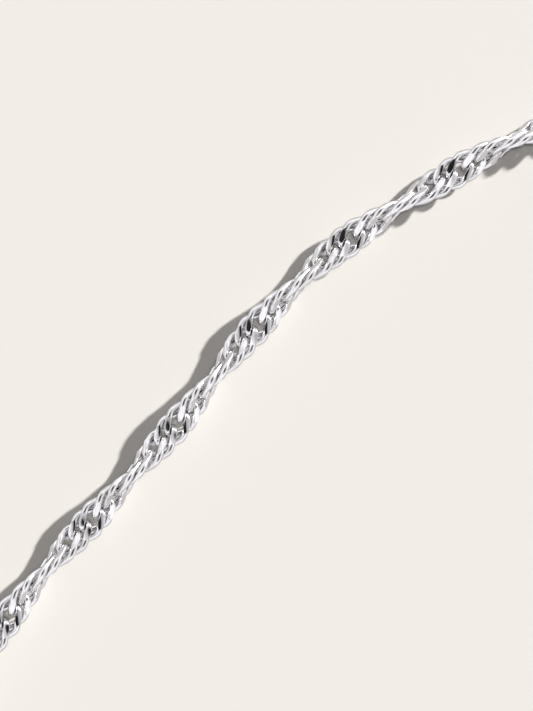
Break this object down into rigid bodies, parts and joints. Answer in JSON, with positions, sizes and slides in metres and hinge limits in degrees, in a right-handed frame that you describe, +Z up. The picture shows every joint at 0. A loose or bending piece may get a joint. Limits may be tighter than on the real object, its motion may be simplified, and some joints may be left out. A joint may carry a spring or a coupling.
{
  "type": "singapore chain necklace",
  "caption": "Loop of twisted, double-linked silver chain, closed by a spring ring clasp between a jump ring and a catch ring, lying flat.",
  "frame": {"origin": "middle of the loop's box, on the surface that the necklace lies on", "axes": "+Z up from the surface; +X and +Y are the picture's right and up, and the picture's stretch lies at -X +Y"},
  "size_m": [0.146, 0.146, 0.0025],
  "materials": {
    "chain_silver": "polished sterling silver, diamond cut on the links' faces, with fine wear marks",
    "clasp_silver": "polished sterling silver"
  },
  "bodies": {
    "root": {"chain": "chain_silver", "jump_ring": "clasp_silver", "clasp": "clasp_silver", "catch_ring": "clasp_silver"}
  },
  "joints": []
}
